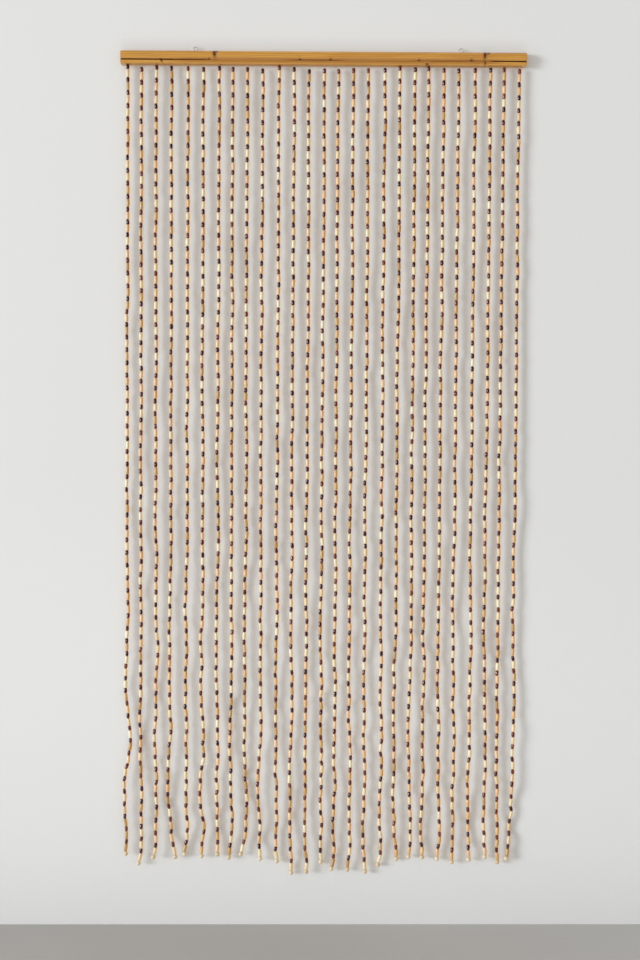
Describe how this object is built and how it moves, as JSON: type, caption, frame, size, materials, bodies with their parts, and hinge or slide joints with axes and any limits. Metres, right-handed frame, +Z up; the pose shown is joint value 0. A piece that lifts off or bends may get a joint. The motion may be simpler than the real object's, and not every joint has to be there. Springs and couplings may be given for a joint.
{
  "type": "bead curtain with rail",
  "caption": "Doorway bead curtain: long strands of brown beads and pale tube beads hung from a varnished pine rail with screw eyes.",
  "frame": {"origin": "centre of the rail's flat back face, which lies against the wall", "axes": "+Z up along the strands, +Y into the wall, +X to the right along the rail as seen from the room"},
  "size_m": [0.9, 0.022, 1.8588],
  "materials": {
    "pine": "clear varnish, satin gloss",
    "beads": "dark brown lacquered beads between pale, half-gloss tube beads",
    "thread": "twisted cotton thread",
    "steel": "zinc plated"
  },
  "bodies": {
    "root": {"rail": "pine", "strands": "beads", "hanger_left": "steel", "hanger_right": "steel"}
  },
  "joints": []
}
